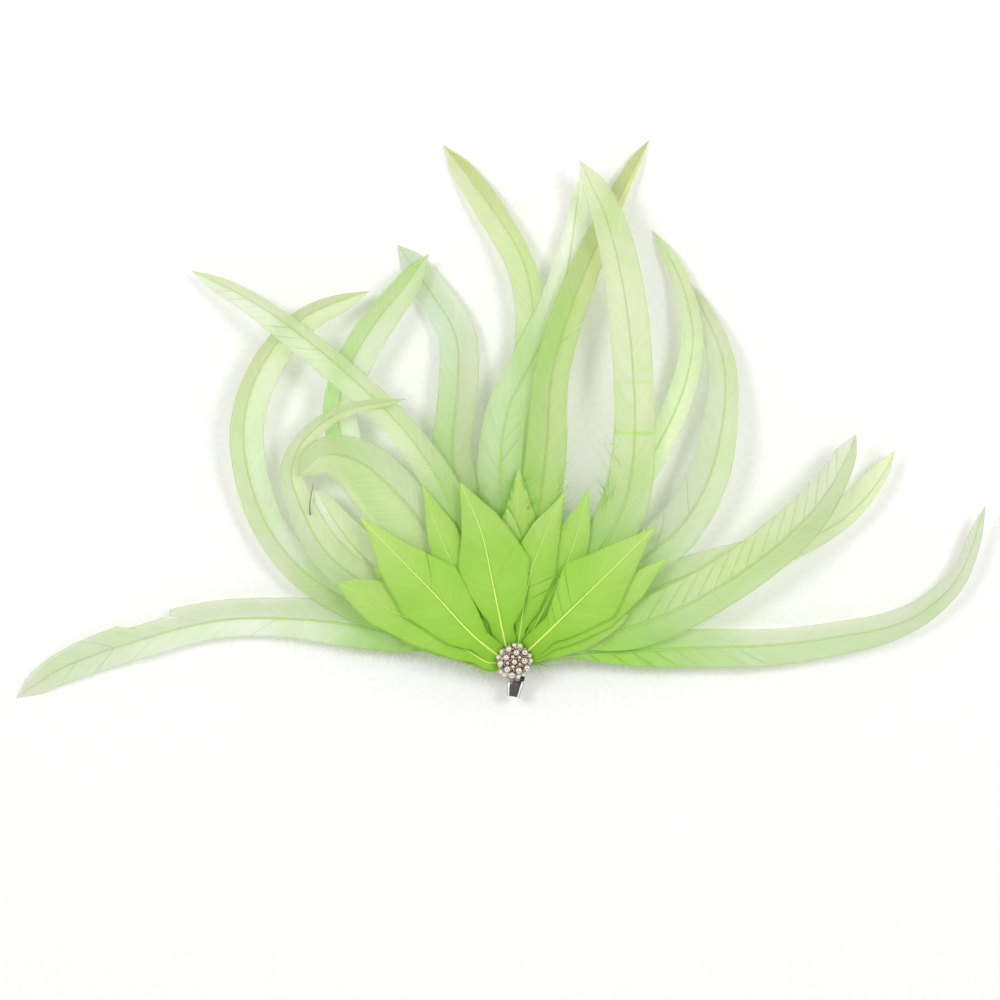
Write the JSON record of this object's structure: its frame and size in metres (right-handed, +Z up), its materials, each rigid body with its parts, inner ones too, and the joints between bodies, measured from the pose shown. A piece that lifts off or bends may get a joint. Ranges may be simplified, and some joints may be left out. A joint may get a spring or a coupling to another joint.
{
  "type": "feather fascinator headpiece",
  "caption": "Feather fascinator: a fan of long curled plumes behind short pointed feathers, with a pearl button over the quills and a sprung hair clip underneath.",
  "frame": {"origin": "on the flat underside of the clip's lower jaw, below the middle of the pearl button", "axes": "+Z up through the pearl button, away from the clip; +Y up the fan from the clip's thumb tabs towards the plume tips; +X to the right when the fan is seen from its face"},
  "size_m": [0.545, 0.315, 0.032],
  "materials": {
    "plume": "translucent dyed feather vane, soft sheen",
    "cover_feather": "bright dyed feather vane, fine barbs",
    "felt": "matte dyed wool felt",
    "clip_steel": "bright plated sheet steel",
    "spring_steel": "drawn spring wire",
    "button_metal": "aged light gold plate",
    "pearl": "pearlescent gloss",
    "stone": "small cut stone, clear champagne"
  },
  "bodies": {
    "lower_jaw": {"lower_jaw": "clip_steel"},
    "headpiece": {"upper_jaw": "clip_steel", "hinge_pin": "clip_steel", "torsion_spring": "spring_steel", "felt_pad": "felt", "top_felt": "felt", "button_plate": "button_metal", "pearl_01": "pearl", "pearl_02": "pearl", "pearl_03": "pearl", "pearl_04": "pearl", "pearl_05": "pearl", "pearl_06": "pearl", "pearl_07": "pearl", "pearl_08": "pearl", "pearl_09": "pearl", "pearl_10": "pearl", "pearl_11": "pearl", "rim_stone_01": "stone", "rim_stone_02": "stone", "rim_stone_03": "stone", "rim_stone_04": "stone", "rim_stone_05": "stone", "rim_stone_06": "stone", "rim_stone_07": "stone", "rim_stone_08": "stone", "rim_stone_09": "stone", "rim_stone_10": "stone", "plume_01": "plume", "plume_02": "plume", "plume_03": "plume", "plume_04": "plume", "plume_05": "plume", "plume_06": "plume", "plume_07": "plume", "plume_08": "plume", "plume_09": "plume", "plume_10": "plume", "plume_11": "plume", "plume_12": "plume", "plume_13": "plume", "plume_14": "plume", "plume_15": "plume", "plume_16": "plume", "plume_17": "plume", "plume_18": "plume", "cover_feather_01": "cover_feather", "cover_feather_02": "cover_feather", "cover_feather_03": "cover_feather", "cover_feather_04": "cover_feather", "cover_feather_05": "cover_feather", "cover_feather_06": "cover_feather", "cover_feather_07": "cover_feather", "cover_feather_08": "cover_feather", "cover_feather_09": "cover_feather", "cover_feather_10": "cover_feather", "cover_feather_11": "cover_feather", "cover_feather_12": "cover_feather", "cover_feather_13": "cover_feather"}
  },
  "joints": [
    {"name": "clip_open", "type": "hinge", "parent": "lower_jaw", "child": "headpiece", "pos_m": [0.0018, -0.0056, 0.0045], "axis": [0.9848, -0.1736, 0], "range_deg": [0, 28], "stiffness_Nm_per_rad": 0.08, "springref_deg": -57.3, "deforming": ["torsion_spring"]}
  ]
}
